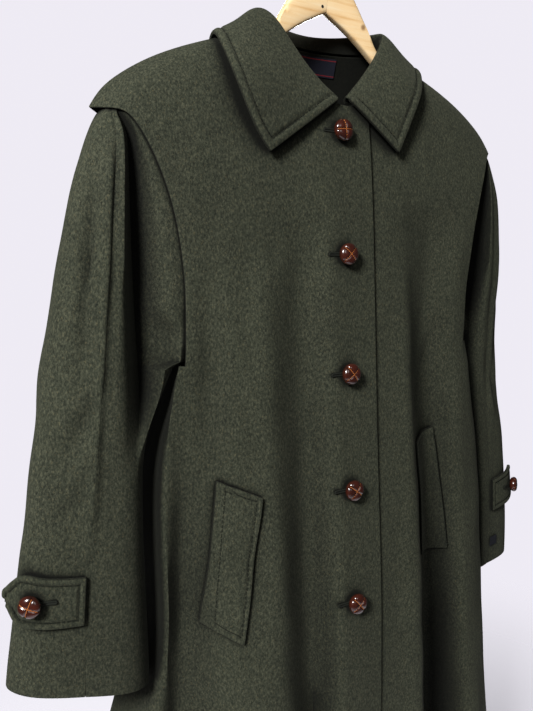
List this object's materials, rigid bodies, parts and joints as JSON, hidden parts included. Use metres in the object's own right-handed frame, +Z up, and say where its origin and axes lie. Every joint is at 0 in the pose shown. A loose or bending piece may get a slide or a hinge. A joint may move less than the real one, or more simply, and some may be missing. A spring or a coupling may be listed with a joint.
{
  "type": "loden coat on a wooden hanger",
  "caption": "Knee-length loden overcoat with a wide turn-down collar, slanted welt pockets, cuff straps and leather buttons, buttoned up on a shaped wooden hanger with a wire hook.",
  "frame": {"origin": "inside of the hanger hook's curve, at its top, where a rail would lie", "axes": "+Z up, the front of the coat faces -Y, +X towards the wearer's left"},
  "size_m": [0.77, 0.2144, 1.2544],
  "materials": {
    "loden": "matt felted wool, dark olive melange",
    "button leather": "glossy reddish brown",
    "woven label": "dark woven tape",
    "varnished wood": "clear varnish",
    "hook steel": "bright plated wire"
  },
  "bodies": {
    "root": {"back": "loden", "front_right": "loden", "front_left": "loden", "sleeve_right_front": "loden", "sleeve_right_back": "loden", "sleeve_left_front": "loden", "sleeve_left_back": "loden", "collar": "loden", "pocket_welt_right": "loden", "pocket_welt_left": "loden", "cuff_strap_right": "loden", "cuff_strap_left": "loden", "cuff_tab": "woven label", "neck_label": "woven label", "button_front_1": "button leather", "button_front_2": "button leather", "button_front_3": "button leather", "button_front_4": "button leather", "button_front_5": "button leather", "button_cuff_right": "button leather", "button_cuff_left": "button leather", "hanger_arm_right": "varnished wood", "hanger_arm_left": "varnished wood", "hanger_hook": "hook steel"}
  },
  "joints": []
}
